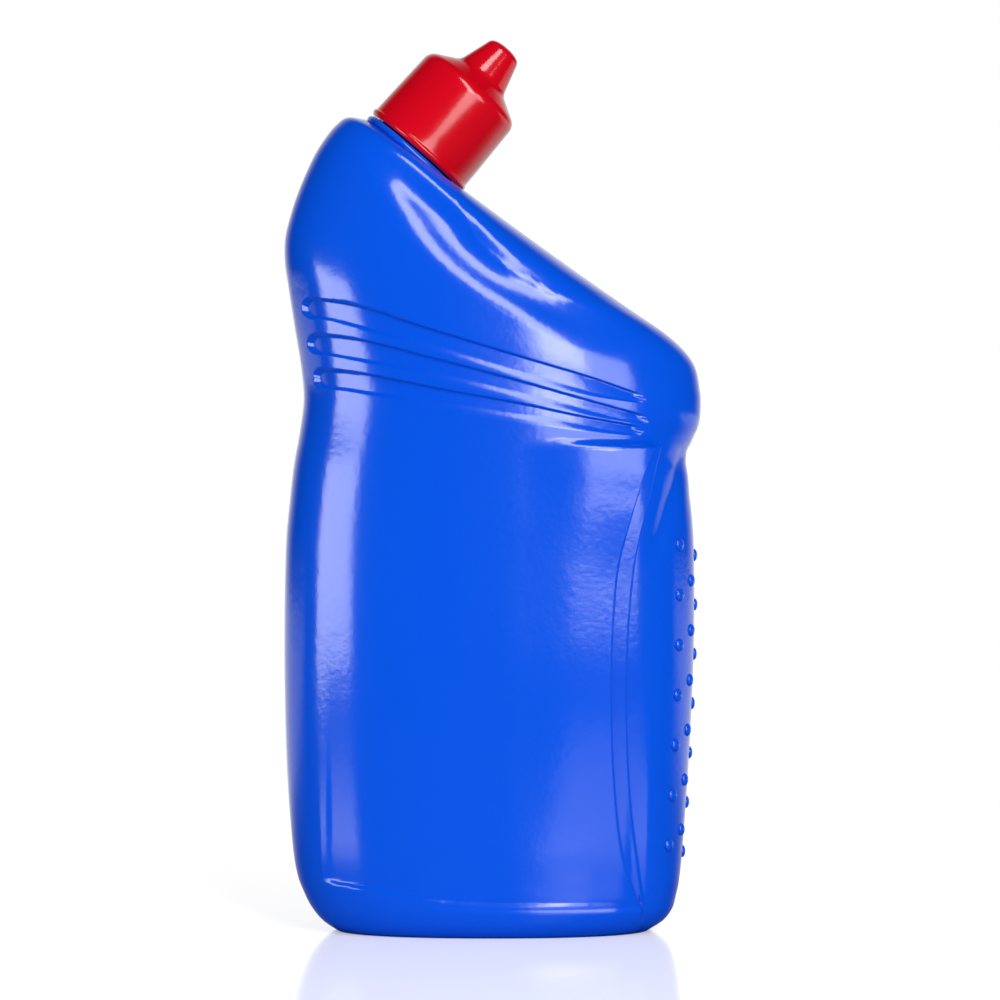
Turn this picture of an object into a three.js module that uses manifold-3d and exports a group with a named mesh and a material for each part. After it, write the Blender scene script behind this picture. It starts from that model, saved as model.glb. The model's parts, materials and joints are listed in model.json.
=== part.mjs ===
// Toilet cleaner bottle: a blow-moulded bottle with a slanted neck, its squirt insert and its screw cap.
// Millimetres, +Z up. The broad faces look along -Y and +Y, and the neck leans towards +X.
// The origin is under the middle of the bottle, on the surface that it stands on.
import * as THREE from 'three';
import { mergeVertices } from 'three/addons/utils/BufferGeometryUtils.js';
import Module from 'manifold-3d';

const wasm = await Module();
wasm.setup();

// Bottle body
const bodyDepth = 62;
const wall = 1.3;
const pushUpHeight = 3;
const pushUpLength = 72;
const pushUpWidth = 32;

// Neck. Its frame starts in the plane of the cap's rim, with its own axis as height.
const neckTilt = 41;
const neckX = -21.5;
const neckZ = 217.2;
const neckRadius = 12.55;
const boreRadius = 10.9;
const neckHeight = 15;
const neckEdge = 0.6;
const neckSink = 8;
const boreSink = 12;
const rimGap = 0.4;
const collarRadius = 16.7;
const collarHeight = 2.2;
const collarBulge = 0.7;

// Thread, right-handed, the same lead on neck and cap
const threadLead = 4.2;
const threadDepth = 1.2;
const threadRoot = 2.0;
const threadCrest = 0.9;
const neckThreadStart = 4.6;
const neckThreadTurns = 1.5;
const capThreadTurns = 1.25;
const threadClearance = 0.3;
const threadFlankTrim = 0.18;
const threadEndTurn = 0.12;
const threadEndShare = 0.1;

// Grip recess with its raised dots
const gripStep = 0.9;
const gripFootShare = 0.4;
const gripFullHeight = 60;
const dotRadius = 1.6;
const dotHeight = 0.9;
const dotPitch = 13.8;
const dotRows = 7;
const dotBottom = 22.5;
const dotColumnY = 12;
const dotFacets = { around: 8, up: 4 };

// Marks in the broad faces
const grooveDepth = 0.8;
const panelDepth = 0.5;
const groovePoints = 24;
const gripPoints = 12;
const panelPoints = 7;

// Squirt insert
const insertClearance = 0.3;
const insertWall = 1.2;
const sleeveBottom = 4;
const flangeRadius = 12.2;
const flangeThickness = 1.2;
const spoutFootRadius = 5;
const spoutTipRadius = 2.9;
const spoutHoleRadius = 1.6;
const spoutLength = 17;
const spoutFillet = 1.5;
const spoutEdge = 0.5;
const spoutHoleDepth = 5;
const insertSegments = 36;

// Cap
const capRimRadius = 16.3;
const capTopRadius = 15.7;
const capBoreRadius = 14.15;
const capLip = 0.45;
const capLipHeight = 1.5;
const shoulderEdge = 23.4;
const shoulderRound = 2.2;
const coneFootHeight = 27.8;
const coneFootRadius = 7.75;
const coneTopRadius = 4.9;
const capHeight = 38.6;
const tipRound = 1.1;
const tipArc = [10, 80];
const tipCrown = 0.4;
const roofDrop = 1;
const capWall = 1.5;
const sealGap = 0.3;
const sealRadius = 8.2;
const sealPinRadius = 1.1;
const sealPinReach = 1;

const smooth = 40;
const gloss = { roughness: 0.25, metalness: 0 };
const bottleBlue = new THREE.MeshStandardMaterial({ color: 0x0353dc, ...gloss });
const capRed = new THREE.MeshStandardMaterial({ color: 0xcd0019, ...gloss });
const nozzleWhite = new THREE.MeshStandardMaterial({ color: 0xf2f1ea, roughness: 0.5, metalness: 0 });

// Solids and meshes

function toSolid(geometry) {
  geometry.deleteAttribute('normal');
  geometry.deleteAttribute('uv');
  const merged = mergeVertices(geometry, 1e-5);
  const vertProperties = new Float32Array(merged.attributes.position.array);
  const triVerts = new Uint32Array(merged.index.array);
  return new wasm.Manifold(new wasm.Mesh({ numProp: 3, vertProperties, triVerts }));
}

function toGeometry(solid) {
  const { vertProperties, triVerts } = solid.getMesh();
  const geometry = new THREE.BufferGeometry();
  geometry.setAttribute('position', new THREE.BufferAttribute(vertProperties, 3));
  geometry.setIndex(new THREE.BufferAttribute(triVerts, 1));
  geometry.computeVertexNormals();
  return geometry;
}

function indexedGeometry(points, faces) {
  const geometry = new THREE.BufferGeometry();
  geometry.setAttribute('position', new THREE.Float32BufferAttribute(points.flat(), 3));
  geometry.setIndex(faces.flat());
  return geometry;
}

function turned(profile, segments = smooth) {
  // A profile of [radius, height] turned round +Z.
  const geometry = new THREE.LatheGeometry(profile.map(([r, h]) => new THREE.Vector2(r, h)), segments);
  return toSolid(geometry.rotateX(Math.PI / 2));
}

function arcPoints(centre, radius, from, to, steps) {
  // Points [radius, height] of an arc, angles in degrees.
  const points = [];
  for (let i = 0; i <= steps; i++) {
    const angle = THREE.MathUtils.degToRad(from + ((to - from) * i) / steps);
    points.push([centre[0] + radius * Math.cos(angle), centre[1] + radius * Math.sin(angle)]);
  }
  return points;
}

function curvePoints(control, count) {
  // Evenly spaced points [x, z] on a smooth curve through the control points.
  const curve = new THREE.CatmullRomCurve3(control.map(([x, z]) => new THREE.Vector3(x, 0, z)));
  return curve.getSpacedPoints(count).map((p) => [p.x, p.z]);
}

// Neck frame

const tilt = THREE.MathUtils.degToRad(neckTilt);

function neckPoint(across, height) {
  // A point [x, z] of the neck's own frame in the bottle's frame.
  return [
    neckX + across * Math.cos(tilt) + height * Math.sin(tilt),
    neckZ - across * Math.sin(tilt) + height * Math.cos(tilt),
  ];
}

function onNeck(solid) {
  const placed = new THREE.Matrix4().makeRotationY(tilt).setPosition(neckX, 0, neckZ);
  return solid.transform(placed.elements);
}

// Body: sections that fan from level planes to the neck's plane

const sectionsUp = [
  // left [x, z], right [x, z], share of the full depth, fullness
  [[-43.8, 0], [43.4, 0], 0.74, 2.3],
  [[-48.0, 3.0], [48.2, 3.2], 0.855, 2.35],
  [[-51.2, 7.2], [50.5, 7.0], 0.915, 2.4],
  [[-54.6, 15.5], [53.0, 15.5], 0.955, 2.4],
  [[-57.1, 37], [55.3, 37], 0.985, 2.4],
  [[-58.5, 77], [57.8, 77], 1, 2.4],
  [[-58.0, 106], [57.8, 106], 1, 2.4],
  [[-56.2, 122], [56.8, 123], 0.995, 2.4],
  [[-54.8, 133], [56.7, 133], 0.99, 2.4],
  [[-53.3, 141.5], [57.6, 141], 0.985, 2.4],
  [[-52.9, 149], [58.0, 147.5], 0.98, 2.4],
  [[-53.9, 158], [55.8, 158.2], 0.965, 2.35],
  [[-55.7, 170], [48.2, 166.2], 0.935, 2.3],
  [[-57.6, 181], [38.6, 172.8], 0.905, 2.25],
  [[-58.4, 191], [26.6, 181.2], 0.87, 2.2],
  [[-56.8, 200], [15.8, 188.9], 0.83, 2.15],
  [[-53.4, 209], [6.2, 195.8], 0.785, 2.1],
  [[-49.4, 217.5], [-1.8, 201.2], 0.735, 2.05],
  [[-45.2, 223.6], [-5.6, 204.2], 0.665, 2],
];
const outerMesh = { around: 32, perSection: 2 };
const innerMesh = { around: 24, perSection: 1 };
const brimRadius = collarRadius + 0.3;
const brimDrop = collarHeight + rimGap;

function bodySections() {
  const top = [neckPoint(-brimRadius, -brimDrop), neckPoint(brimRadius, -brimDrop)];
  return [...sectionsUp, [...top, (2 * brimRadius) / bodyDepth, 2]];
}

function alongCurve(values, count) {
  // Smooth values through one list of [a, b] pairs, at even steps of the list.
  const curve = new THREE.CatmullRomCurve3(
    values.map(([a, b]) => new THREE.Vector3(a, 0, b)), false, 'centripetal');
  return Array.from({ length: count }, (_, i) => curve.getPoint(i / (count - 1)));
}

function bodyStations({ perSection } = outerMesh) {
  const sections = bodySections();
  const count = (sections.length - 1) * perSection + 1;
  const left = alongCurve(sections.map((s) => s[0]), count);
  const right = alongCurve(sections.map((s) => s[1]), count);
  const form = alongCurve(sections.map((s) => [s[2] * bodyDepth, s[3]]), count);
  return left.map((l, i) => ({
    left: l, right: right[i], halfDepth: form[i].x / 2, fullness: form[i].z, share: i / (count - 1),
  }));
}

function gripFade(z) {
  // The recess is shallower towards the foot.
  return THREE.MathUtils.lerp(gripFootShare, 1, THREE.MathUtils.smoothstep(z, 0, gripFullHeight));
}

function ringPoint(station, angle, inset) {
  // A point of one section: an ellipse with fuller corners, set in by the inset.
  const middle = station.left.clone().add(station.right).multiplyScalar(0.5);
  const along = station.right.clone().sub(station.left);
  const halfLength = along.length() / 2;
  along.normalize();
  const power = 2 / station.fullness;
  const c = Math.cos(angle);
  const s = Math.sin(angle);
  const across = Math.sign(c) * Math.abs(c) ** power * (halfLength - inset);
  const depth = Math.sign(s) * Math.abs(s) ** power * (station.halfDepth - inset);
  return [middle.x + along.x * across, depth, middle.z + along.z * across];
}

function bodyLoft(inset, mesh = outerMesh, lower = 0, recess = 0) {
  // The body set in by the inset, and by the recess less its fade. Lower draws its two ends in.
  const points = [];
  const faces = [];
  const segments = mesh.around;
  const stations = bodyStations(mesh);
  const neckAxis = [Math.sin(tilt), Math.cos(tilt)];
  stations.forEach((station, row) => {
    const nearNeck = THREE.MathUtils.smoothstep(station.share, 0.7, 1) * lower;
    const nearFoot = (1 - THREE.MathUtils.smoothstep(station.share, 0, 0.12)) * lower;
    const depth = inset + recess * gripFade(station.right.z);
    for (let i = 0; i < segments; i++) {
      const [x, y, z] = ringPoint(station, (2 * Math.PI * i) / segments, depth);
      points.push([x - nearNeck * neckAxis[0], y, z - nearNeck * neckAxis[1] + nearFoot]);
      if (row > 0) {
        const next = (i + 1) % segments;
        const [a, b] = [(row - 1) * segments + i, (row - 1) * segments + next];
        const [c, d] = [row * segments + i, row * segments + next];
        faces.push([a, b, d], [a, d, c]);
      }
    }
  });
  const last = (stations.length - 1) * segments;
  for (let i = 1; i < segments - 1; i++) {
    faces.push([0, i + 1, i]);
    faces.push([last, last + i, last + i + 1]);
  }
  return toSolid(indexedGeometry(points, faces));
}

// Marks in the faces, drawn as seen from the front

function throughBody(outline) {
  // A prism through the body, from an outline [x, z] seen from the front.
  const shape = new THREE.Shape(outline.map(([x, z]) => new THREE.Vector2(x, z)));
  const prism = new THREE.ExtrudeGeometry(shape, { depth: 2 * bodyDepth, bevelEnabled: false });
  return toSolid(prism.rotateX(Math.PI / 2).translate(0, bodyDepth, 0));
}

const grooveOutlines = [
  {
    upper: [[-50.5, 176.2], [-40.3, 174.1], [-18.3, 167.2], [7.4, 159.3], [29.2, 152.8], [39.2, 149.3]],
    lower: [[39.0, 146.8], [18.3, 150.6], [-3.5, 155.8], [-25.3, 162.5], [-40.3, 168.1], [-49.5, 170.4]],
  },
  {
    upper: [[-48.4, 166.2], [-40.3, 164.8], [-16.1, 158.8], [7.4, 152.6], [29.2, 146.5], [40.0, 143.8]],
    lower: [[38.7, 141.1], [18.3, 145.0], [1.9, 148.7], [-17.2, 152.8], [-33.5, 157.3], [-47.4, 160.4]],
  },
  {
    upper: [[-47.0, 156.6], [-37.6, 155.1], [-13.9, 150.4], [7.4, 146.5], [26.4, 142.6], [38.4, 140.8]],
    lower: [[38.1, 138.1], [18.3, 139.9], [1.9, 141.6], [-14.4, 144.6], [-33.5, 148.9], [-46.2, 150.9]],
  },
];

function grooveOutline({ upper, lower }) {
  // A long tapering mark with rounded ends.
  return curvePoints([...upper, ...lower, upper[0]], groovePoints).slice(0, -1);
}

const gripOuterEdge = [
  [42.6, 134.6], [39.9, 128], [36.0, 114], [33.5, 103], [32.0, 87], [31.6, 70.5], [32.1, 54], [33.5, 38],
  [35.7, 23], [39.4, 10.6],
];
const gripInnerEdge = [
  [45.2, 131.5], [41.9, 119.6], [38.6, 103], [36.9, 87], [36.3, 70.5], [36.9, 54], [38.2, 38], [39.8, 23],
  [41.3, 11.4],
];
const gripBeyond = 80;

function gripOutline(edge) {
  const inner = curvePoints(edge, gripPoints);
  return [...inner, [gripBeyond, inner.at(-1)[1]], [gripBeyond, inner[0][1]]].reverse();
}

const panelEdge = [[-43.5, 15.6], [-36.2, 14.1], [-22.6, 11.6], [7.4, 9.7], [36, 9.5]];
const panelTop = 136;
const panelRise = 9;

function panelOutline() {
  // The label panel: a shallow flat between the lower crease and the lowest groove.
  const lower = curvePoints(panelEdge, panelPoints);
  return [...lower, [29, 30], [27, 70], [29, 112], [33, panelTop], [-45, panelTop + panelRise], [-47, 70]];
}

function shapedBody(inset, mesh, lower) {
  // The body with its grip recess, set in by the inset.
  const steps = [gripOuterEdge, gripInnerEdge];
  return steps.reduce((body, edge, level) => {
    const prism = throughBody(gripOutline(edge).map(([x, z]) => [x - inset, z]));
    return body.subtract(prism.subtract(bodyLoft(inset, mesh, lower, gripStep * (level + 1))));
  }, bodyLoft(inset, mesh, lower));
}

function facePoint(z, y, inset) {
  // Where the narrow side towards +X lies at a height and a depth, on the body set in by the inset.
  const stations = bodyStations();
  const above = stations.findIndex((s) => s.right.z > z);
  const [low, high] = [stations[above - 1], stations[above]];
  const t = (z - low.right.z) / (high.right.z - low.right.z);
  const rightX = THREE.MathUtils.lerp(low.right.x, high.right.x, t);
  const leftX = THREE.MathUtils.lerp(low.left.x, high.left.x, t);
  const halfDepth = THREE.MathUtils.lerp(low.halfDepth, high.halfDepth, t);
  const fullness = THREE.MathUtils.lerp(low.fullness, high.fullness, t);
  const side = 1 - (Math.abs(y) / (halfDepth - inset)) ** fullness;
  return (rightX + leftX) / 2 + ((rightX - leftX) / 2 - inset) * side ** (1 / fullness);
}

function gripDots() {
  // Domes in a column down the side, and a column on each flank set half a pitch higher.
  const dots = [];
  const dome = new THREE.SphereGeometry(dotRadius, dotFacets.around, dotFacets.up);
  dome.scale(dotHeight / dotRadius, 1, 1);
  for (const [column, rows, rise] of [[0, dotRows, 0], [1, dotRows - 1, 0.5], [-1, dotRows - 1, 0.5]]) {
    for (let row = 0; row < rows; row++) {
      const z = dotBottom + (row + rise) * dotPitch;
      const y = column * dotColumnY;
      const depth = 2 * gripStep * gripFade(z);
      const x = facePoint(z, y, depth);
      const ahead = facePoint(z, y + 1, depth) - facePoint(z, y - 1, depth);
      const turn = new THREE.Matrix4().makeRotationZ(Math.atan2(-ahead, 2));
      dots.push(toSolid(dome.clone().applyMatrix4(turn).translate(x, y, z)));
    }
  }
  return dots;
}

function pushUp(grow) {
  // The dome pressed up into the foot.
  const dome = new THREE.SphereGeometry(1, 28, 8);
  dome.scale(pushUpLength / 2 + grow, pushUpWidth / 2 + grow, pushUpHeight + grow);
  return toSolid(dome);
}

// Neck and threads

function threadRidge(rootRadius, crestRadius, start, turns) {
  // One helical ridge whose height runs out at both ends.
  const perTurn = smooth;
  const count = Math.round(perTurn * turns);
  const points = [];
  const faces = [];
  for (let i = 0; i <= count; i++) {
    const turn = i / perTurn;
    const angle = 2 * Math.PI * turn + 2 * Math.PI * (start / threadLead);
    const height = start + threadLead * turn;
    const end = Math.min(turn, turns - turn) / threadEndTurn;
    const crest = rootRadius + (crestRadius - rootRadius) * Math.min(1, threadEndShare + end);
    const corners = [
      [rootRadius, -threadRoot / 2], [crest, -threadCrest / 2],
      [crest, threadCrest / 2], [rootRadius, threadRoot / 2],
    ];
    for (const [r, h] of corners) {
      points.push([r * Math.cos(angle), r * Math.sin(angle), height + h]);
    }
    if (i > 0) {
      for (let k = 0; k < 4; k++) {
        const [a, b] = [4 * (i - 1) + k, 4 * (i - 1) + ((k + 1) % 4)];
        faces.push([a, a + 4, b + 4], [a, b + 4, b]);
      }
    }
  }
  const last = 4 * count;
  faces.push([0, 1, 2], [0, 2, 3], [last, last + 2, last + 1], [last, last + 3, last + 2]);
  const facing = crestRadius > rootRadius ? faces : faces.map(([a, b, c]) => [a, c, b]);
  return toSolid(indexedGeometry(points, facing));
}

function neckOutside() {
  const crease = collarRadius - collarBulge;
  const middle = -rimGap - collarHeight / 2;
  return turned([
    [0, -neckSink], [crease - 1, -neckSink], [crease - 0.3, -brimDrop - 0.4], [crease, -brimDrop],
    [collarRadius - 0.2, middle - 0.6], [collarRadius, middle], [collarRadius - 0.2, middle + 0.6],
    [crease, -rimGap], [neckRadius, -rimGap], [neckRadius, neckHeight - neckEdge],
    [neckRadius - neckEdge, neckHeight], [0, neckHeight],
  ]);
}

const sunkRoot = 0.3;

function neckThread() {
  return threadRidge(neckRadius - sunkRoot, neckRadius + threadDepth, neckThreadStart, neckThreadTurns);
}

function bottle() {
  const outside = [
    ...grooveOutlines.map((groove) => [grooveOutline(groove), grooveDepth]),
    [panelOutline(), panelDepth],
  ].reduce(
    (body, [outline, depth]) => body.subtract(throughBody(outline).subtract(bodyLoft(depth))),
    shapedBody(0));
  const shell = [...gripDots(), onNeck(neckOutside().add(neckThread()))]
    .reduce((body, piece) => body.add(piece), outside);
  const boreTop = neckHeight + 1;
  const boreProfile = [[0, -boreSink], [boreRadius, -boreSink], [boreRadius, boreTop], [0, boreTop]];
  const bore = onNeck(turned(boreProfile));
  const inside = shapedBody(wall, innerMesh, wall).subtract(pushUp(wall)).add(bore);
  return shell.subtract(pushUp(0)).subtract(inside);
}

// Squirt insert

const flangeBottom = neckHeight + insertClearance;
const flangeTop = flangeBottom + flangeThickness;
const spoutTop = flangeTop + spoutLength;

function nozzlePlug() {
  const sleeve = boreRadius - insertClearance;
  return turned([
    [sleeve - insertWall, sleeveBottom], [sleeve, sleeveBottom], [sleeve, flangeBottom],
    [flangeRadius, flangeBottom], [flangeRadius, flangeTop], [spoutFootRadius + spoutFillet, flangeTop],
    [spoutFootRadius, flangeTop + spoutFillet], [spoutTipRadius, spoutTop - spoutEdge],
    [spoutTipRadius - spoutEdge, spoutTop],
    [spoutHoleRadius, spoutTop], [spoutHoleRadius, spoutTop - spoutHoleDepth],
    [spoutFootRadius - insertWall, flangeTop + 1], [sleeve - insertWall, flangeBottom - 1],
    [sleeve - insertWall, sleeveBottom],
  ], insertSegments);
}

// Cap

function capOutside() {
  const slope = (coneFootHeight - shoulderEdge) / (capTopRadius - coneFootRadius);
  const slopeAngle = THREE.MathUtils.radToDeg(Math.atan(slope));
  const edgeTurn = THREE.MathUtils.degToRad((90 - slopeAngle) / 2);
  const roundCentre = [
    capTopRadius - shoulderRound,
    shoulderEdge - shoulderRound * Math.tan(edgeTurn),
  ];
  return [
    [capRimRadius - 0.1, 0], [capRimRadius + capLip, 0.7], [capRimRadius + capLip, capLipHeight],
    [capRimRadius, capLipHeight + 0.4],
    ...arcPoints(roundCentre, shoulderRound, 0, 90 - slopeAngle, 4),
    [coneFootRadius + 1.2, coneFootHeight - 1.2 * slope], [coneFootRadius + 0.15, coneFootHeight],
    [coneFootRadius - 0.3, coneFootHeight + 1],
    ...arcPoints([coneTopRadius - tipRound, capHeight - tipCrown - tipRound], tipRound, ...tipArc, 2),
    [0, capHeight],
  ];
}

function capInside() {
  const slope = (coneFootHeight - shoulderEdge) / (capTopRadius - coneFootRadius);
  const roofEdge = shoulderEdge - capWall - roofDrop;
  const coneInner = coneFootRadius - capWall;
  const roofAt = (r) => roofEdge + slope * (capBoreRadius - r);
  const sealHalf = capWall / 2;
  const sealBottom = flangeTop + sealGap;
  const pinBottom = spoutTop - sealPinReach;
  const tipInside = capHeight - capWall - roofDrop;
  return [
    [0, pinBottom], [sealPinRadius, pinBottom], [sealPinRadius, tipInside],
    [coneTopRadius - capWall, tipInside], [coneInner, roofAt(coneInner) + 0.5],
    [sealRadius - sealHalf, roofAt(sealRadius - sealHalf)], [sealRadius - sealHalf, sealBottom],
    [sealRadius + sealHalf, sealBottom], [sealRadius + sealHalf, roofAt(sealRadius + sealHalf)],
    [capBoreRadius, roofEdge], [capBoreRadius, 0],
  ];
}

function capThread() {
  const flankOffset = (threadRoot + threadCrest) / 2 - threadFlankTrim + threadClearance;
  const start = neckThreadStart - threadLead / 4 - flankOffset;
  const ridge = threadRidge(capBoreRadius + sunkRoot, capBoreRadius - threadDepth, start, capThreadTurns);
  const phase = (360 * flankOffset) / threadLead;
  return ridge.rotate([0, 0, phase]);
}

function cap() {
  return turned([...capInside(), ...capOutside()]).add(capThread());
}

// Assembly

function named(name, geometry, material) {
  const mesh = new THREE.Mesh(geometry, material);
  mesh.name = name;
  return mesh;
}

const group = new THREE.Group();
const bottleMesh = named('bottle', toGeometry(bottle()), bottleBlue);
const bottleBox = new THREE.Box3().setFromObject(bottleMesh);
group.position.x = -(bottleBox.min.x + bottleBox.max.x) / 2;
group.add(bottleMesh);

const neckGroup = new THREE.Group();
neckGroup.position.set(neckX, 0, neckZ);
neckGroup.rotation.y = tilt;
neckGroup.add(named('nozzle_plug', toGeometry(nozzlePlug()), nozzleWhite));
neckGroup.add(named('cap', toGeometry(cap()), capRed));
group.add(neckGroup);

export default group;
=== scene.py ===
import json
import math

import bmesh
import bpy
import numpy as np
from mathutils import Matrix, Vector


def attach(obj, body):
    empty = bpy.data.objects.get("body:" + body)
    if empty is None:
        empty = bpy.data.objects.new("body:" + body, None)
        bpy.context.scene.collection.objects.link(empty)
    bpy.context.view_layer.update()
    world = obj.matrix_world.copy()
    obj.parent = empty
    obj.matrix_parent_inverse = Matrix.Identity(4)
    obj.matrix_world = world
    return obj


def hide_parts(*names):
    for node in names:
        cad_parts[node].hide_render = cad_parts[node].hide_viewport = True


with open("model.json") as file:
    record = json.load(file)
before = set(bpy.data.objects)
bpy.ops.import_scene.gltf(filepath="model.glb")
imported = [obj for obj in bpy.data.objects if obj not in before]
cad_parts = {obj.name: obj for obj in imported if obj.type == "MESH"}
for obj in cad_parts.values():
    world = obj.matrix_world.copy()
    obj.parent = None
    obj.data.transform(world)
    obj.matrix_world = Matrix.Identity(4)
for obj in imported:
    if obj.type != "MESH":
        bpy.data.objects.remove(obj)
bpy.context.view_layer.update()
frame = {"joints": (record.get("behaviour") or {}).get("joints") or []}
mm = 0.001
print("frame loaded")

# The neck stands on the cap's hinge: its frame has across as X and the neck's own axis as Z
capHinge = next(joint for joint in frame["joints"] if joint["name"] == "cap_turn")
neckFoot = Vector(capHinge["pos_m"]) / mm
neckUp = Vector(capHinge["axis"]).normalized()
neckAcross = Vector((neckUp.z, 0, -neckUp.x))
neckFrame = Matrix((neckAcross, Vector((0, 1, 0)), neckUp)).transposed().to_4x4()
neckFrame.translation = neckFoot


def smoothCurve(knots, values):
    # A curve through the values that keeps an even slope at each of them
    knots, values = np.array(knots, float), np.array(values, float)
    slopes = np.gradient(values, knots, axis=0)

    def at(t):
        t = np.clip(np.asarray(t, float), knots[0], knots[-1])
        i = np.clip(np.searchsorted(knots, t) - 1, 0, len(knots) - 2)
        span = knots[i + 1] - knots[i]
        s = (t - knots[i]) / span
        if values.ndim > 1:
            span, s = span[..., None], s[..., None]
        blend = s * s * (3 - 2 * s)
        leaving = s * (1 - s) ** 2 * span * slopes[i]
        arriving = s * s * (1 - s) * span * slopes[i + 1]
        return values[i] * (1 - blend) + values[i + 1] * blend + leaving - arriving

    return at


def ramp(value, start, end):
    # 0 before start, 1 after end, smooth between
    s = np.clip((value - start) / (end - start), 0, 1)
    return s * s * (3 - 2 * s)


def hollow(distance, width):
    # 1 on a line, fading to 0 at about the width away from it
    return np.exp(-(distance / (0.5 * width)) ** 2)


def absorb(bm, part):
    # Takes a part that was modelled by itself into the mesh
    mesh = bpy.data.meshes.new("part")
    part.to_mesh(mesh)
    part.free()
    bm.from_mesh(mesh)
    bpy.data.meshes.remove(mesh)


def newPiece(name, bm, material, body, slot, *nodes):
    mesh = bpy.data.meshes.new(name)
    bm.to_mesh(mesh)
    bm.free()
    for polygon in mesh.polygons:
        polygon.use_smooth = True
    mesh.materials.append(material)
    piece = bpy.data.objects.new(name, mesh)
    bpy.context.scene.collection.objects.link(piece)
    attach(piece, body)
    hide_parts(*nodes)


# Shader maths as plain expressions

class Socket:
    def __init__(self, tree, socket):
        self.tree, self.socket = tree, socket

    def node(self, kind, settings=None, output=0, **inputs):
        # A node of this kind: settings first, then its sockets by name
        made = self.tree.nodes.new(kind)
        for name, value in (settings or {}).items():
            setattr(made, name, value)
        for name, value in inputs.items():
            self.join(made, name, value)
        return Socket(self.tree, made.outputs[output])

    def join(self, made, name, value):
        # i0 names a socket by its number, Base_Color by its name
        key = int(name[1:]) if name[1:].isdigit() else name.replace("_", " ")
        if isinstance(value, Socket):
            self.tree.links.new(value.socket, made.inputs[key])
        else:
            made.inputs[key].default_value = value

    def maths(self, operation, other):
        return self.node("ShaderNodeMath", {"operation": operation}, i0=self, i1=other)

    def __add__(self, other):
        return self.maths("ADD", other)

    def __mul__(self, other):
        return self.maths("MULTIPLY", other)

    def __sub__(self, other):
        return self.maths("SUBTRACT", other)

    def __rsub__(self, other):
        return self.node("ShaderNodeMath", {"operation": "SUBTRACT"}, i0=other, i1=self)


class Shader(Socket):
    def put(self, **inputs):
        # Values and links of the main shader's sockets
        for name, value in inputs.items():
            self.join(self.socket, name, value)


def newMaterial(name):
    material = bpy.data.materials.new(name)
    material.use_nodes = True
    tree = material.node_tree
    start = Socket(tree, None)
    place = start.node("ShaderNodeTexCoord", output="Object")
    return material, Shader(tree, tree.nodes["Principled BSDF"]), start, place


# Bottle: one skin from the seam under the foot, up the outside, over the neck's rim and down the inside

bottle = {
    "shiftX": neckFoot.x + 21.5,
    "grip": {"step": 1.3, "softness": 0.5, "bottom": 9.6, "top": 136.6, "topSoftness": 2.2, "atFoot": 0.4,
             "footFade": (8, 60), "deeper": 0.6, "deeperFrom": (96, 130), "lineReach": (8, 137)},
    "groove": {"depth": 1.15, "wallWidth": 0.5, "softer": 5, "softFrom": (0.12, 0.45), "softUntil": (-0.96, -0.7),
               "floorRise": 0.75, "riseFrom": (0.1, 0.5), "noHeight": 0.01},
    "panel": {"depth": 0.8, "softness": 0.45, "secondShare": 0.6, "secondDrop": 1.8, "secondFrom": (-20, -10),
              "from": (-47, -44), "until": (-44, -38), "upTo": (-80, -30)},
    "slope": {"steep": 0.6, "bend": 0.4, "own": 0.36, "beyond": 7.0, "until": (-50, -14), "leastWidth": 0.1,
              "brim": (-6, 204.2), "brimFall": 0.65, "brimLean": 0.84, "brimFade": 11, "samples": 90},
    "pocket": {"depth": 0.9, "width": 5, "from": (100, 112), "until": (-137, -133)},
    "edgeShare": (8, 46),
    "edgeX": 60.0,
    "wall": 1.3,
    "pushUpHeight": 3.0,
    "footRings": [(0.35, 0.55), (0.5, 0.9), (0.75, 1.0)],
    "footNarrowing": 0.42,
    "seamShare": 0.5,
    "seamDrop": 0.3,
    "floorRise": 0.4,
    "insideEvery": 12,
    "bore": 10.9,
    "neckRadius": 12.55,
    "neckHeight": 15.0,
    "columns": [(0, 96), (1, 8), (2, 8), (3, 8), (4, 32)],
    "columnMargin": 1.0,
    "columnTries": 6,
    "columnStart": 0.7,
    "columnReach": (0.2, 0.93),
}

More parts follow.
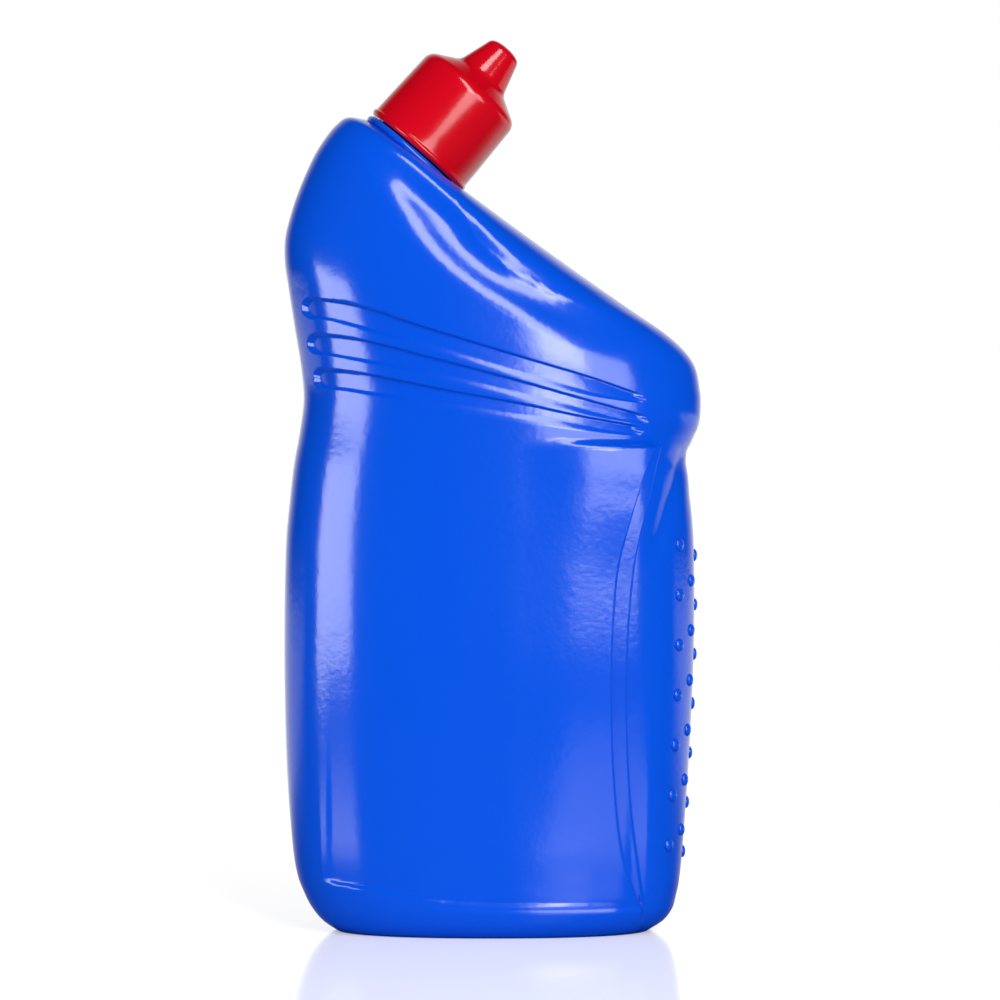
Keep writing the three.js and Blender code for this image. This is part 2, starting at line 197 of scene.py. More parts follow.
# Sections up the body: left x z, right x z, half depth, fullness, rows up to the next section
bodySections = [
    (-43.6, 0.0, 43.2, 0.0, 22.6, 2.3, 3),
    (-47.6, 2.7, 47.7, 2.9, 26.2, 2.35, 3),
    (-50.7, 6.4, 50.1, 6.2, 28.0, 2.4, 6),
    (-52.9, 10.6, 51.1, 9.8, 28.9, 2.4, 12),
    (-55.0, 16.6, 52.0, 14.2, 29.4, 2.4, 6),
    (-56.4, 27.0, 53.0, 24.5, 30.2, 2.4, 6),
    (-57.8, 48.0, 54.6, 47.0, 30.4, 2.4, 9),
    (-58.4, 77.6, 56.0, 77.6, 30.5, 2.4, 8),
    (-58.0, 106.0, 56.1, 104.0, 30.5, 2.4, 5),
    (-56.9, 119.6, 55.6, 114.5, 30.5, 2.4, 4),
    (-55.7, 130.0, 54.9, 121.0, 30.45, 2.4, 5),
    (-54.0, 139.6, 54.6, 126.4, 30.4, 2.4, 6),
    (-53.0, 148.5, 54.4, 131.2, 30.3, 2.4, 26),
    (-53.8, 157.6, 55.4, 136.2, 30.2, 2.4, 36),
    (-55.6, 168.6, 57.3, 140.6, 30.1, 2.38, 36),
    (-57.2, 178.8, 57.95, 145.2, 29.8, 2.35, 14),
    (-58.3, 186.5, 57.75, 150.6, 29.3, 2.32, 6),
    (-58.2, 193.2, 55.9, 158.2, 28.7, 2.28, 6),
    (-56.6, 200.0, 49.6, 165.2, 27.8, 2.25, 6),
    (-54.6, 206.0, 38.6, 172.9, 26.8, 2.2, 6),
    (-52.3, 211.6, 26.6, 181.2, 25.8, 2.16, 6),
    (-49.8, 216.8, 15.8, 188.9, 24.6, 2.12, 6),
    (-47.0, 221.2, 6.2, 195.8, 23.2, 2.08, 5),
    (-44.2, 224.6, -1.2, 201.2, 21.4, 2.04, 5),
    (-41.0, 226.9, -6.0, 204.2, 19.2, 2.0, 5),
]
brim = (-17.0, 17.0, -2.6)

# Lines drawn on the broad faces: x at each z for the grip, z at each x for the grooves and the panel
gripOuterLine = [(7.6, 40.4), (10.3, 39.6), (22.9, 35.7), (37.8, 33.5), (54.2, 32.1), (70.5, 31.6),
                 (86.9, 32.0), (103.2, 33.5), (114.1, 36.0), (125.0, 38.7), (131.0, 40.4), (137.0, 43.6)]
gripInnerLine = [(7.6, 41.8), (10.6, 41.3), (22.9, 39.8), (37.8, 38.1), (54.2, 36.8), (70.5, 36.2),
                 (86.9, 36.8), (103.2, 38.4), (119.6, 41.7), (131.8, 44.2), (137.0, 45.6)]
grooveLines = [
    {"left": -52.6, "right": 40.4,
     "top": [(-53, 176.4), (-46, 175.2), (-40.3, 174.1), (-18.3, 167.2), (7.4, 159.3), (29.2, 152.8),
             (40.4, 149.0)],
     "low": [(-53, 170.4), (-46, 169.6), (-40.3, 168.1), (-25.3, 162.9), (-3.5, 155.6), (18.3, 149.4),
             (40.4, 146.4)]},
    {"left": -51.0, "right": 41.6,
     "top": [(-51, 166.4), (-46, 165.6), (-40.3, 164.8), (-16.1, 158.8), (7.4, 152.6), (29.2, 146.5),
             (41.6, 143.2)],
     "low": [(-51, 160.5), (-46, 159.9), (-33.5, 157.3), (-17.2, 152.8), (1.9, 147.9), (18.3, 144.0),
             (41.6, 140.5)]},
    {"left": -49.4, "right": 40.2,
     "top": [(-49.4, 156.8), (-44, 156.0), (-37.6, 155.1), (-13.9, 150.4), (7.4, 146.5), (26.4, 142.6),
             (40.2, 140.2)],
     "low": [(-49.4, 151.0), (-44, 150.5), (-33.5, 148.7), (-14.4, 144.4), (1.9, 141.6), (18.3, 139.2),
             (40.2, 137.4)]},
]
panelLine = [(-60, 18.5), (-48, 16.0), (-44.1, 15.2), (-36.2, 14.1), (-30.8, 13.2), (-22.6, 11.7),
             (-14.4, 10.8), (7.4, 9.8), (36.0, 9.6), (60, 9.6)]
# The slope's start and the valley that it ends in, as x z
slopeStart = [(-38.6, 224.0), (-36.2, 212.0), (-32.2, 201.0), (-24.4, 191.0), (-13.6, 181.6), (1.0, 172.4),
              (18.0, 163.2), (31.0, 158.0), (46.0, 153.0)]
slopeValley = [(-14.0, 212.0), (-11.7, 205.4), (-6.4, 194.5), (-3.5, 189.7), (3.2, 183.7), (10.0, 180.2),
               (18.2, 176.1), (29.1, 173.9), (44.0, 171.0)]
# The middle of the pocket under the bulge over the grip: x at each z
pocketLine = [(100, 43.5), (112, 46.5), (124, 50.5), (134, 53.5)]


def onLine(line):
    line = np.array(line)
    return smoothCurve(line[:, 0], line[:, 1])


gripOuterAt, gripInnerAt, pocketAt = onLine(gripOuterLine), onLine(gripInnerLine), onLine(pocketLine)


def gripMarks(x, z):
    # The recess for the hand steps in twice, and runs out towards the foot
    grip = bottle["grip"]
    soft = grip["softness"]
    inside = ramp(z, grip["bottom"] - soft, grip["bottom"] + soft)
    inside = inside * ramp(-z, -grip["top"], -grip["top"] + grip["topSoftness"])
    fade = grip["atFoot"] + (1 - grip["atFoot"]) * ramp(z, *grip["footFade"])
    fade = fade + grip["deeper"] * ramp(z, *grip["deeperFrom"])
    outer = ramp(x - gripOuterAt(z), -soft, soft)
    inner = ramp(x - gripInnerAt(z), -soft, soft)
    return grip["step"] * fade * inside * (outer + inner)


def grooveMarks(x, z):
    # Three long marks: a sharp wall along the top, and a floor that rises again to the lower edge
    groove = bottle["groove"]
    depth = np.zeros_like(x)
    wall = groove["wallWidth"]
    for line in grooveLines:
        topAt, lowAt = onLine(line["top"]), onLine(line["low"])
        top, low = topAt(x), lowAt(x)
        share = np.clip((x - line["left"]) / (line["right"] - line["left"]), 0, 1)
        half = 0.5 * (top - low)
        # Rounded ends: the mark closes like a slot
        fromEnd = np.minimum(x - line["left"], line["right"] - x)
        rounding = half - np.sqrt(np.clip(half ** 2 - (half - fromEnd) ** 2, 0, None))
        closing = np.where(fromEnd < half, rounding, 0)
        closing = np.where(fromEnd < 0, half + 1, closing)
        below = top - closing - z
        above = z - low - closing
        softer = ramp(share, *groove["softFrom"]) * ramp(-share, *groove["softUntil"])
        lowSoft = wall * (1 + groove["softer"] * softer)
        rise = groove["floorRise"] * ramp(share, *groove["riseFrom"])
        floorShare = 1 - rise * (1 - np.clip(above / (2 * half + groove["noHeight"]), 0, 1))
        depth += groove["depth"] * ramp(below, 0, wall) * ramp(above, 0, lowSoft) * floorShare
    return depth


def panelMarks(x, z):
    # The flat panel ends in two fine steps above the foot
    panel = bottle["panel"]
    line = onLine(panelLine)(x)
    soft = panel["softness"]
    first = ramp(z - line, -soft / 2, soft / 2)
    second = ramp(z - line + panel["secondDrop"], -soft, soft) * ramp(x, *panel["secondFrom"])
    span = ramp(x, *panel["from"]) * ramp(-x, *panel["until"]) * ramp(-z, *panel["upTo"])
    return panel["depth"] * (first + panel["secondShare"] * second) * span


def awayFrom(line, x, z):
    # How far points lie from a line, less than 0 on its lower side
    steps = np.linspace(0, len(line) - 1, bottle["slope"]["samples"])
    along = smoothCurve(np.arange(len(line)), line)(steps)
    ahead = np.gradient(along, axis=0)
    offX, offZ = x[..., None] - along[:, 0], z[..., None] - along[:, 1]
    nearest = np.argmin(offX ** 2 + offZ ** 2, axis=-1)
    offX = np.take_along_axis(offX, nearest[..., None], -1)[..., 0]
    offZ = np.take_along_axis(offZ, nearest[..., None], -1)[..., 0]
    side = np.sign(ahead[nearest, 0] * offZ - ahead[nearest, 1] * offX)
    return side * np.hypot(offX, offZ)


def slopeMarks(x, z):
    # The face bends away towards the sloping edge, and ends in a valley inside that edge
    slope, pocket = bottle["slope"], bottle["pocket"]
    near, far = awayFrom(slopeStart, x, z), -awayFrom(slopeValley, x, z)
    width = np.clip(near + far, slope["leastWidth"], None)
    share = np.clip(near / width, 0, 1)
    bend = slope["bend"]
    turned = np.where(share < bend, share ** 2 / (2 * bend), share - bend / 2)
    cut = np.clip(width * (slope["steep"] * turned - slope["own"] * share ** 3), 0, None)
    brimX, brimZ = slope["brim"]
    underBrim = (brimZ - slope["brimFall"] * (x - brimX) - z) * slope["brimLean"]
    cut = cut * ramp(far, -slope["beyond"], 0) * ramp(underBrim, 0, slope["brimFade"]) * ramp(-x, *slope["until"])
    # The soft pocket beside the grip, under the bulge
    valley = pocket["depth"] * hollow(x - pocketAt(z), pocket["width"])
    return cut + valley * ramp(z, *pocket["from"]) * ramp(-z, *pocket["until"])


def sectionsAt():
    # Even curves through the sections: left x z, right x z, half depth and fullness, one row each
    table = np.array([section[:6] for section in bodySections] + [brimSection()])
    counts = [section[6] for section in bodySections]
    knots = np.arange(len(table))
    steps = np.concatenate([np.linspace(i, i + 1, count, endpoint=False) for i, count in enumerate(counts)])
    return smoothCurve(knots, table)(np.append(steps, knots[-1]))


def brimSection():
    low, high, height = brim
    ends = [neckFrame @ Vector((across, 0, height)) for across in (low, high)]
    return [ends[0].x - bottle["shiftX"], ends[0].z, ends[1].x - bottle["shiftX"], ends[1].z, high, 2.0]


def columnAngles(sections):
    # Angles round each section, from the left edge over the front to the right one, gathered at the grip's lines
    centre = 0.5 * (sections[:, 0] + sections[:, 2])
    half = np.hypot(sections[:, 2] - sections[:, 0], sections[:, 3] - sections[:, 1]) / 2
    tilt = (sections[:, 3] - sections[:, 1]) / (2 * half)
    lineBottom, lineTop = bottle["grip"]["lineReach"]

    def angleOf(lineAt, margin):
        share = np.full(len(sections), bottle["columnStart"])
        for _ in range(bottle["columnTries"]):
            z = 0.5 * (sections[:, 1] + sections[:, 3]) + tilt * share * half
            x = lineAt(np.clip(z, lineBottom, lineTop)) + margin
            share = np.clip((x - centre) / (half * np.sqrt(1 - tilt ** 2)), *bottle["columnReach"])
        angle = np.arccos(share ** (sections[:, 5] / 2))
        last = np.argmax(sections[:, 3] > lineTop)
        angle[last:] = angle[last]
        return angle

    margin = bottle["columnMargin"]
    edges = [np.full(len(sections), math.pi), angleOf(gripOuterAt, -margin), angleOf(gripOuterAt, margin),
             angleOf(gripInnerAt, -margin), angleOf(gripInnerAt, margin), np.zeros(len(sections))]
    angles = []
    for part, count in bottle["columns"]:
        shares = np.linspace(0, 1, count, endpoint=False)[None, :]
        angles.append(edges[part][:, None] * (1 - shares) + edges[part + 1][:, None] * shares)
    return np.concatenate(angles + [edges[-1][:, None]], axis=1)


def ringPoints(sections, angles, inset):
    # Points of the sections at these angles, set in by the inset: x, y and z in millimetres
    power = 2 / sections[:, 5][:, None]
    half = np.hypot(sections[:, 2] - sections[:, 0], sections[:, 3] - sections[:, 1])[:, None] / 2
    alongX = (sections[:, 2] - sections[:, 0])[:, None] / (2 * half)
    alongZ = (sections[:, 3] - sections[:, 1])[:, None] / (2 * half)
    across = np.sign(np.cos(angles)) * np.abs(np.cos(angles)) ** power * (half - inset)
    depth = -np.abs(np.sin(angles)) ** power * (sections[:, 4][:, None] - inset)
    x = 0.5 * (sections[:, 0] + sections[:, 2])[:, None] + alongX * across
    z = 0.5 * (sections[:, 1] + sections[:, 3])[:, None] + alongZ * across
    return np.stack([x, depth, z], axis=-1)


def bodySkin():
    sections = sectionsAt()
    angles = columnAngles(sections)
    plain = ringPoints(sections, angles, 0.0)
    x, z = plain[..., 0], plain[..., 2]
    right = ramp(x, *bottle["edgeShare"])
    marks = gripMarks(x, z) + grooveMarks(x, z) + panelMarks(x, z) + slopeMarks(x, z)
    # The measured outline already lies in the grip, so the section is first let out by what the grip takes
    gripAtEdge = gripMarks(np.full_like(x, bottle["edgeX"]), z)
    return sections, angles, ringPoints(sections, angles, marks - gripAtEdge * right)


def circleRow(angles, radius, height):
    # One row round the neck's axis, in the bottle's frame
    local = np.stack([radius * np.cos(angles), -radius * np.sin(angles), np.full_like(angles, height)], axis=-1)
    turn = np.array(neckFrame.to_3x3())
    place = local @ turn.T + np.array(neckFrame.translation)
    place[:, 0] -= bottle["shiftX"]
    return place


# Radius and height, from the bead under the cap over the rim and down the bore
neckProfile = [(16.15, -2.75), (16.05, -2.55), (16.3, -2.3), (16.6, -1.95), (16.72, -1.5), (16.6, -1.0),
               (16.3, -0.65), (15.9, -0.45), (13.2, -0.42), (12.75, -0.25), (12.55, 0.2), (12.55, 14.3),
               (12.4, 14.8), (12.0, 15.0), (11.3, 15.0), (10.98, 14.85), (10.9, 14.5), (10.9, 6.0), (10.9, -3.2)]


def makeBottle(material):
    sections, angles, skin = bodySkin()
    foot = []
    for share, lift in bottle["footRings"]:
        ring = skin[0].copy()
        ring[:, 0] *= 1 - bottle["footNarrowing"] * share
        ring[:, 1] *= 1 - share
        ring[:, 2] = lift * bottle["pushUpHeight"]
        foot.append(ring)
    seam = skin[0].copy()
    seam[:, 0] *= bottle["seamShare"]
    seam[:, 1] = 0
    seam[:, 2] = bottle["pushUpHeight"] - bottle["seamDrop"]
    outside = [seam] + foot[::-1] + list(skin)
    neck = [circleRow(angles[-1], radius, height) for radius, height in neckProfile]
    # The inside is plain: it lies clear of the marks, with fewer rows
    every = bottle["insideEvery"]
    inset = bottle["wall"] + 2 * bottle["grip"]["step"]
    inside = list(ringPoints(sections[::-every][1:], angles[::-every][1:], inset))
    floor = inside[-1].copy()
    floor[:, 0] *= bottle["seamShare"]
    floor[:, 1] = 0
    floor[:, 2] = bottle["pushUpHeight"] + bottle["wall"] + bottle["floorRise"]
    for ring in inside[-2:]:
        ring[:, 2] = np.maximum(ring[:, 2], bottle["pushUpHeight"] + bottle["wall"])
    rows = np.array(outside + neck + inside + [floor])
    back = rows[:, -2::-1].copy()
    back[..., 1] *= -1
    rows = np.concatenate([rows, back], axis=1)
    rows[..., 0] += bottle["shiftX"]
    rowCount, columnCount = rows.shape[:2]
    bm = bmesh.new()
    bmesh.ops.create_grid(bm, x_segments=columnCount - 1, y_segments=rowCount - 1, size=0.5)
    for vert in bm.verts:
        column = round((vert.co.x + 0.5) * (columnCount - 1))
        row = round((vert.co.y + 0.5) * (rowCount - 1))
        vert.co = Vector(rows[row, column]) * mm
    bmesh.ops.remove_doubles(bm, verts=bm.verts, dist=1e-6)
    bmesh.ops.dissolve_degenerate(bm, dist=1e-7, edges=bm.edges)
    bmesh.ops.recalc_face_normals(bm, faces=bm.faces)
    place = Matrix.Diagonal((mm, mm, mm, 1)) @ neckFrame
    absorb(bm, threadRidge(bottle["neckRadius"], 1, thread["start"], thread["turns"], 0, place))
    absorb(bm, gripDots(skin))
    newPiece("bottle_skin", bm, material, "bottle", "bottle_blue", "bottle")


thread = {"lead": 4.2, "start": 4.6, "turns": 1.5, "root": 2.0, "crest": 0.9, "depth": 1.2, "sunk": 0.3,
          "perTurn": 90, "taper": 0.12, "endShare": 0.1, "flankTrim": 0.18}


def threadRidge(radius, outwards, start, turns, phase, place):
    # A ridge swept up a helix, its height running out at both ends
    bm = bmesh.new()
    crest = radius + outwards * thread["depth"]
    root = radius - outwards * thread["sunk"]
    half, top = thread["root"] / 2, thread["crest"] / 2
    outline = [(root, -half), (crest, -top), (crest, top), (root, half)]
    profile = [bm.verts.new((r, 0, start + h)) for r, h in outline]
    edges = [bm.edges.new(pair) for pair in zip(profile, profile[1:] + profile[:1])]
    steps = round(thread["perTurn"] * turns)
    swept = bmesh.ops.spin(bm, geom=profile + edges, cent=(0, 0, 0), axis=(0, 0, 1), angle=2 * math.pi * turns,
                           dvec=(0, 0, thread["lead"] * turns / steps), steps=steps)
    lastRing = [vert for vert in swept["geom_last"] if isinstance(vert, bmesh.types.BMVert)]
    bmesh.ops.contextual_create(bm, geom=profile)
    bmesh.ops.contextual_create(bm, geom=lastRing)
    for vert in bm.verts:
        part = (math.atan2(vert.co.y, vert.co.x) / (2 * math.pi)) % 1
        turn = part + round((vert.co.z - start) / thread["lead"] - part)
        height = min(1, thread["endShare"] + min(turn, turns - turn) / thread["taper"])
        r = math.hypot(vert.co.x, vert.co.y)
        vert.co.xy *= (root + (r - root) * height) / r
    bmesh.ops.recalc_face_normals(bm, faces=bm.faces)
    turnedBy = Matrix.Rotation(2 * math.pi * (start / thread["lead"]) + phase, 4, "Z")
    bmesh.ops.transform(bm, matrix=place @ turnedBy, verts=bm.verts)
    return bm


# Columns of dots: y, how many, and how far up the first one is, in pitches
dots = {"radius": 1.8, "height": 1.0, "pitch": 13.8, "lowest": 21.8, "sideColumns": 55, "reach": 0.6,
        "around": 16, "up": 10,
        "columns": [(0, 7, 0.0), (-9, 6, 0.5), (9, 6, 0.5), (-15.2, 7, 0.22), (15.2, 7, 0.22)]}


def gripDots(skin):
    # Low domes in staggered columns on the narrow side that the palm closes on
    bm = bmesh.new()
    narrowSide = skin[:, -dots["sideColumns"]:][:, ::-1]
    reach = dots["reach"]

    def sideX(z, y):
        rows = [np.interp(abs(y), -row[:, 1], row[:, 0]) for row in narrowSide]
        return float(np.interp(z, narrowSide[:, 0, 2], rows))

    for y, count, rise in dots["columns"]:
        for i in range(count):
            z = dots["lowest"] + (i + rise) * dots["pitch"]
            turn = math.atan2(sideX(z, y - reach) - sideX(z, y + reach), 2 * reach)
            place = Matrix.Translation(Vector((sideX(z, y) + bottle["shiftX"], y, z)) * mm)
            squash = Matrix.Diagonal((dots["height"] / dots["radius"], 1, 1, 1))
            bmesh.ops.create_uvsphere(bm, u_segments=dots["around"], v_segments=dots["up"],
                                      radius=dots["radius"] * mm,
                                      matrix=place @ Matrix.Rotation(turn, 4, "Z") @ squash)
    return bm


# Squirt insert: sleeve in the bore, flange on the rim, spout with its small hole

insert = {"gap": 0.3, "wall": 1.2, "sleeveBottom": 4.0, "flangeRadius": 12.2, "flange": 1.2,
          "spoutFoot": 5.0, "spoutFillet": 1.5, "spoutTip": 2.9, "tipEdge": 0.5, "hole": 1.6, "holeDepth": 5,
          "funnel": 1, "spoutLength": 17.0, "edge": 0.25, "segments": 96}


def spunPiece(name, profile, segments, material, body, slot, node, part=None):
    # A closed profile of (radius, height) turned round the neck's axis
    bm = bmesh.new()
    verts = [bm.verts.new((r, 0, h)) for r, h in profile]
    edges = [bm.edges.new(pair) for pair in zip(verts, verts[1:])]
    if profile[0][0] > 0:
        edges.append(bm.edges.new((verts[-1], verts[0])))
    bmesh.ops.spin(bm, geom=verts + edges, cent=(0, 0, 0), axis=(0, 0, 1), angle=2 * math.pi,
                   steps=segments, use_merge=True)
    bmesh.ops.remove_doubles(bm, verts=bm.verts, dist=1e-5)
    bmesh.ops.recalc_face_normals(bm, faces=bm.faces)
    if part:
        absorb(bm, part)
    bmesh.ops.transform(bm, matrix=Matrix.Diagonal((mm, mm, mm, 1)) @ neckFrame, verts=bm.verts)
    newPiece(name, bm, material, body, slot, node)


def rounded(profile, radius, steps=3):
    # The profile with each of its corners rounded, less where its sides are short
    result = [profile[0]]
    for before, corner, after in zip(profile, profile[1:], profile[2:]):
        before, corner, after = Vector(before), Vector(corner), Vector(after)
        into, out = before - corner, after - corner
        reach = min(radius, 0.45 * into.length, 0.45 * out.length)
        start, end = corner + into.normalized() * reach, corner + out.normalized() * reach
        for i in range(steps + 1):
            t = i / steps
            result.append(tuple(start * (1 - t) ** 2 + corner * 2 * t * (1 - t) + end * t ** 2))
    return result + [profile[-1]]


def makeInsert(material):
    sleeve = bottle["bore"] - insert["gap"]
    inside = sleeve - insert["wall"]
    flangeLow = bottle["neckHeight"] + insert["gap"]
    flangeTop = flangeLow + insert["flange"]
    tip = flangeTop + insert["spoutLength"]
    foot, hole, spout = insert["spoutFoot"], insert["hole"], insert["spoutTip"]
    fillet, edge, funnel = insert["spoutFillet"], insert["tipEdge"], insert["funnel"]
    bottom, flange = insert["sleeveBottom"], insert["flangeRadius"]
    middle = (sleeve + inside) / 2
    profile = [(middle, bottom), (sleeve, bottom), (sleeve, flangeLow), (flange, flangeLow), (flange, flangeTop),
               (foot + fillet, flangeTop), (foot, flangeTop + fillet), (spout, tip - edge), (spout - edge, tip),
               (hole, tip), (hole, tip - insert["holeDepth"]), (foot - insert["wall"], flangeTop + funnel),
               (inside, flangeLow - funnel), (inside, bottom), (middle, bottom)]
    profile = rounded(profile, insert["edge"])[:-1]
    spunPiece("squirt_insert", profile, insert["segments"], material, "nozzle", "nozzle_white", "nozzle_plug")


# Cap: skirt with a lip, sloped shoulder, and the tall cone that covers the spout

cap = {"rim": 16.3, "top": 15.7, "bore": 14.15, "shoulder": 23.4, "coneFoot": 7.75, "coneFlare": 0.15,
       "coneFootHeight": 27.8, "coneTop": 4.9, "height": 38.6, "wall": 1.5, "thicker": 1, "coneInsideRise": 0.5,
       "seal": 8.2, "sealGap": 0.3, "pin": 1.1, "pinReach": 1.0, "threadTurns": 1.25,
       # How far out from the rim, and how high: the lip and the skirt above it
       "lip": [(-0.15, 0), (0.45, 0.75), (0.45, 1.5), (0.02, 1.92), (-0.05, 6)],
       # The cone's top edge and the flat of its tip, out from its top radius and up from its height
       "tipEdge": (0.02, -1.0), "tipFlat": (-1.9, -0.12),
       "insideRound": 0.2, "lipRound": 0.3, "shoulderRound": 2.2, "footRound": 1.5, "tipRound": 1.2,
       "shoulderSteps": 8, "coneSteps": 6, "segments": 160}


def makeCap(material):
    slope = (cap["coneFootHeight"] - cap["shoulder"]) / (cap["top"] - cap["coneFoot"])
    flangeTop = bottle["neckHeight"] + insert["gap"] + insert["flange"]
    spoutTop = flangeTop + insert["spoutLength"]
    roofEdge = cap["shoulder"] - cap["wall"] - cap["thicker"]
    coneInside = cap["coneFoot"] - cap["wall"]
    sealIn, sealOut = cap["seal"] - cap["wall"] / 2, cap["seal"] + cap["wall"] / 2
    sealTop, pinTop = flangeTop + cap["sealGap"], spoutTop - cap["pinReach"]
    tipInside = cap["height"] - cap["wall"] - cap["thicker"]

    def roof(r):
        return roofEdge + slope * (cap["bore"] - r)

    def onCone(out, up):
        return cap["coneTop"] + out, cap["height"] + up

    inside = [(0, pinTop), (cap["pin"], pinTop), (cap["pin"], tipInside), (cap["coneTop"] - cap["wall"], tipInside),
              (coneInside, roof(coneInside) + cap["coneInsideRise"]), (sealIn, roof(sealIn)), (sealIn, sealTop),
              (sealOut, sealTop), (sealOut, roof(sealOut)), (cap["bore"], roofEdge), (cap["bore"], 0)]
    outside = [(cap["rim"] + out, height) for out, height in cap["lip"]]
    shoulder = (cap["top"], cap["shoulder"])
    coneFoot = (cap["coneFoot"] + cap["coneFlare"], cap["coneFootHeight"])
    tipEdge, tipFlat = onCone(*cap["tipEdge"]), onCone(*cap["tipFlat"])
    bore = rounded(inside, cap["insideRound"])
    lip = rounded([inside[-1], *outside], cap["lipRound"])
    skirt = rounded([outside[-1], shoulder, coneFoot], cap["shoulderRound"], cap["shoulderSteps"])
    foot = rounded([shoulder, coneFoot, tipEdge], cap["footRound"], cap["coneSteps"])
    tip = rounded([coneFoot, tipEdge, tipFlat, (0, cap["height"])], cap["tipRound"], cap["coneSteps"])
    profile = bore[:-1] + lip[:-1] + skirt[:-1] + foot[1:-1] + tip[1:]

    flank = (thread["root"] + thread["crest"]) / 2 - thread["flankTrim"] + insert["gap"]
    start = thread["start"] - thread["lead"] / 4 - flank
    ridge = threadRidge(cap["bore"], -1, start, cap["threadTurns"], 2 * math.pi * flank / thread["lead"], Matrix())
    spunPiece("cap_shell", profile, cap["segments"], material, "cap", "cap_red", "cap", ridge)


# Finishes: darkest and lightest tint, fine and broad unevenness with their sizes in noise scale, roughness

finishes = {
    "bottle_blue": {"tints": ((0.0006, 0.070, 0.62), (0.0006, 0.080, 0.68)), "fine": 620.0, "fineDetail": 2.0,
                    "broad": 42.0, "broadDetail": 3.0, "cloud": 9.0, "fineShare": 0.25, "bump": 0.35,
                    "bumpDepth": 0.00035, "roughness": 0.125, "rougher": 0.05, "ior": 1.54},
    "cap_red": {"tints": ((0.52, 0.0005, 0.008), (0.58, 0.001, 0.011)), "fine": 500.0, "fineDetail": 2.0,
                "broad": 60.0, "broadDetail": 2.0, "fineShare": 0.3, "bump": 0.25, "bumpDepth": 0.0002,
                "roughness": 0.13, "rougher": 0.06, "ior": 1.54},
    "nozzle_white": {"tints": ((0.86, 0.85, 0.81), (0.9, 0.89, 0.85)), "fine": 400.0, "fineDetail": 3.0,
                     "bump": 0.2, "bumpDepth": 0.0002, "roughness": 0.4, "rougher": 0.1, "ior": 1.5},
}


def noise(place, scale, detail):
    return place.node("ShaderNodeTexNoise", {"noise_dimensions": "3D"}, Vector=place, Scale=scale, Detail=detail)


def blendColours(share, low, high):
    return share.node("ShaderNodeMix", {"data_type": "RGBA"}, 2, i0=share, i6=(*low, 1), i7=(*high, 1))


def makeFinish(name):
    # Moulded plastic: a fine orange peel over faint, broad unevenness
    finish = finishes[name]
    material, shader, start, place = newMaterial(name)
    fine = height = tinting = noise(place, finish["fine"], finish["fineDetail"])
    if "broad" in finish:
        tinting = noise(place, finish["broad"], finish["broadDetail"])
        height = fine * finish["fineShare"] + tinting
    if "cloud" in finish:
        tinting = noise(place, finish["cloud"], 2.0)
    bump = start.node("ShaderNodeBump", Strength=finish["bump"], Distance=finish["bumpDepth"], Height=height)
    shader.put(Base_Color=blendColours(tinting, *finish["tints"]), Normal=bump, IOR=finish["ior"],
               Roughness=fine * finish["rougher"] + finish["roughness"])
    return material


# Studio: camera, lamps, white floor with painted shade in its gloss in front of the bottle

studio = {"cameraPlace": (0.0021, -1.0, 0.1200), "lens": 128.6, "sensor": 36, "clip": (0.05, 30),
          # The dark floor colour is painted shade, seen only by glossy rays in front of the bottle
          "floorSize": 8.0, "floorBright": (0.93, 0.93, 0.93), "floorGlossShade": (0.02, 0.02, 0.02),
          "floorRoughness": 0.12, "floorIor": 1.3, "floorGlow": 0.36, "glossShadeEdge": (0.3, 0.0),
          "whiteEdge": (0.16, 0.5), "glow": 0.35, "fill": 0.26, "backdropEdge": (0.55, 1.0),
          "lamps": [
              # name, place, aims at, width, height, watts
              ("left_softbox", (-1.04, -0.60, 0.17), (0, 0, 0.14), 0.62, 0.33, 4.6),
              ("right_softbox", (0.554, -1.064, 0.32), (0, 0, 0.14), 0.84, 0.52, 6.8),
              ("key_softbox", (0.33, -0.96, 0.79), (0, 0, 0.16), 0.30, 0.95, 8.0),
          ]}


def smoothStep(value, edge):
    # 0 at the first number of the edge and 1 at the second
    return value.node("ShaderNodeMapRange", {"interpolation_type": "SMOOTHSTEP"}, Value=value, From_Min=edge[0],
                      From_Max=edge[1])


def makeCamera():
    data = bpy.data.cameras.new("camera")
    data.lens = studio["lens"]
    data.sensor_width = studio["sensor"]
    data.sensor_fit = "HORIZONTAL"
    data.clip_start, data.clip_end = studio["clip"]
    camera = bpy.data.objects.new("camera", data)
    camera.location = studio["cameraPlace"]
    camera.rotation_euler = (math.radians(90), 0, 0)
    bpy.context.scene.collection.objects.link(camera)
    bpy.context.scene.camera = camera


def makeLamps():
    for name, place, target, width, height, watts in studio["lamps"]:
        data = bpy.data.lights.new(name, "AREA")
        data.shape = "RECTANGLE"
        data.size, data.size_y = width, height
        data.energy = watts
        lamp = bpy.data.objects.new(name, data)
        lamp.location = place
        lamp.rotation_euler = (Vector(target) - Vector(place)).to_track_quat("-Z", "Y").to_euler()
        bpy.context.scene.collection.objects.link(lamp)


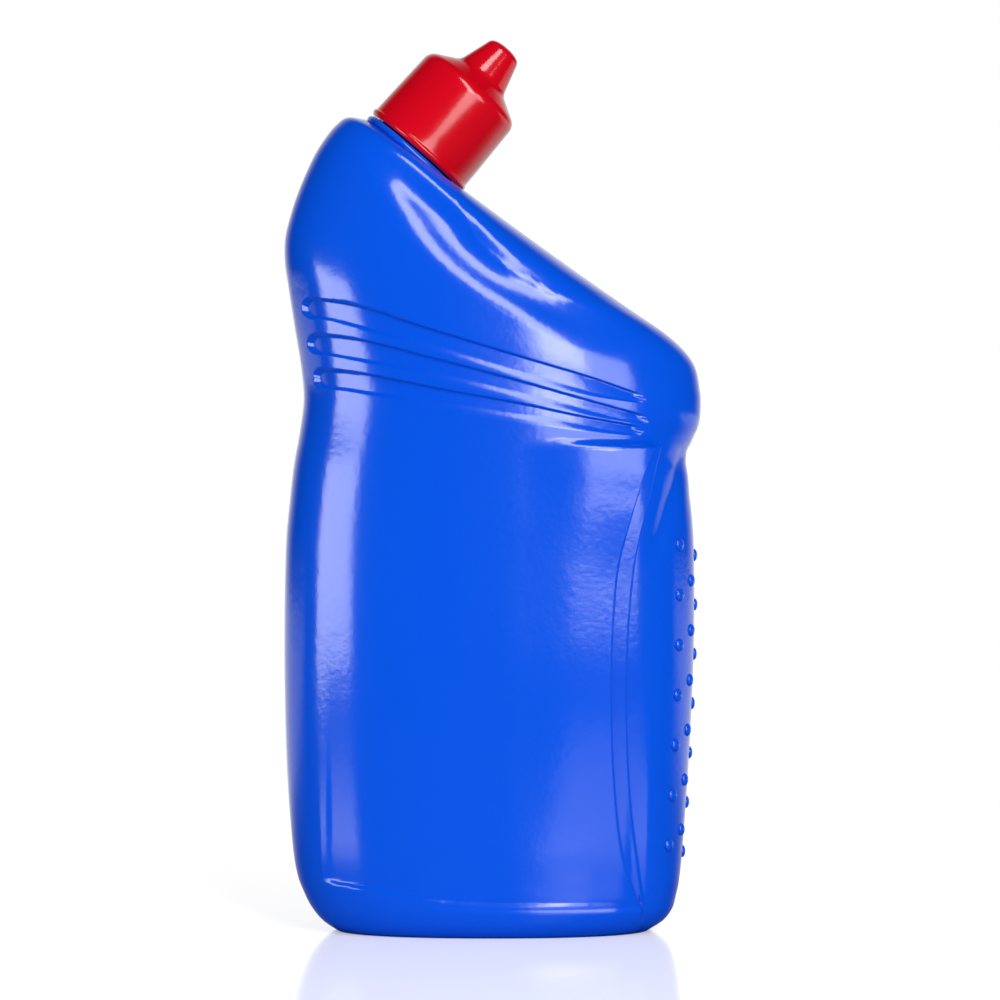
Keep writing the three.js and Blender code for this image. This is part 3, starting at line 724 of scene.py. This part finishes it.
def makeFloor():
    bm = bmesh.new()
    bmesh.ops.create_grid(bm, x_segments=1, y_segments=1, size=studio["floorSize"] / 2)
    mesh = bpy.data.meshes.new("floor")
    bm.to_mesh(mesh)
    bm.free()
    floor = bpy.data.objects.new("floor", mesh)
    bpy.context.scene.collection.objects.link(floor)
    material, shader, start, place = newMaterial("floor_white")
    isCamera = start.node("ShaderNodeLightPath", output="Is Camera Ray")
    isGlossy = start.node("ShaderNodeLightPath", output="Is Glossy Ray")
    # Painted shade in the gloss: in front of the bottle glossy rays see the floor near black, so the bottle
    # reflects a dark floor there; behind it they see the white one
    depth = start.node("ShaderNodeSeparateXYZ", output="Y", Vector=place)
    glossShadeFront = smoothStep(depth, studio["glossShadeEdge"])
    tint = blendColours(isGlossy * glossShadeFront, studio["floorBright"], studio["floorGlossShade"])
    shader.put(Base_Color=tint, Roughness=studio["floorRoughness"], IOR=studio["floorIor"],
               Emission_Color=(1, 1, 1, 1), Emission_Strength=isCamera * studio["floorGlow"])
    # Away from the bottle the floor goes over into the plain white of the backdrop
    far = start.node("ShaderNodeVectorMath", {"operation": "LENGTH"}, 1, i0=place)
    dim = studio["glow"]
    # For glossy rays in front of the bottle this glow is 0: the same painted shade, so the far floor shows black in
    # the bottle's reflection
    glow = isCamera * (1 - dim) + isGlossy * (1 - glossShadeFront) * (1 - dim) - isGlossy * glossShadeFront * dim + dim
    white = start.node("ShaderNodeEmission", Color=(1, 1, 1, 1), Strength=glow)
    away = smoothStep(far, studio["whiteEdge"])
    plain = Socket(shader.tree, shader.socket.outputs[0])
    mixed = start.node("ShaderNodeMixShader", i0=away, i1=plain, i2=white)
    shader.tree.links.new(mixed.socket, shader.tree.nodes["Material Output"].inputs["Surface"])
    mesh.materials.append(material)


def makeWorld():
    world = bpy.data.worlds.new("studio")
    bpy.context.scene.world = world
    world.use_nodes = True
    tree = world.node_tree
    background = tree.nodes["Background"]
    start = Socket(tree, None)
    isCamera = start.node("ShaderNodeLightPath", output="Is Camera Ray")
    isGlossy = start.node("ShaderNodeLightPath", output="Is Glossy Ray")
    isThrough = start.node("ShaderNodeLightPath", output="Is Transmission Ray")
    # The backdrop is white behind the bottle; the studio on the camera's side is dark in its gloss
    towards = start.node("ShaderNodeTexCoord", output="Generated")
    depth = start.node("ShaderNodeSeparateXYZ", output="Y", Vector=towards)
    behind = smoothStep(depth, studio["backdropEdge"])
    seen = isCamera + isThrough + isGlossy * behind
    strength = seen + (1 - isCamera - isThrough - isGlossy) * studio["fill"]
    tree.links.new(strength.socket, background.inputs["Strength"])
    background.inputs["Color"].default_value = (1, 1, 1, 1)


makeCamera()
makeWorld()
makeLamps()
makeFloor()
print("studio ready")
makeBottle(makeFinish("bottle_blue"))
print("bottle made")
makeInsert(makeFinish("nozzle_white"))
makeCap(makeFinish("cap_red"))
print("insert and cap made")

bpy.context.scene.view_settings.view_transform = "Standard"
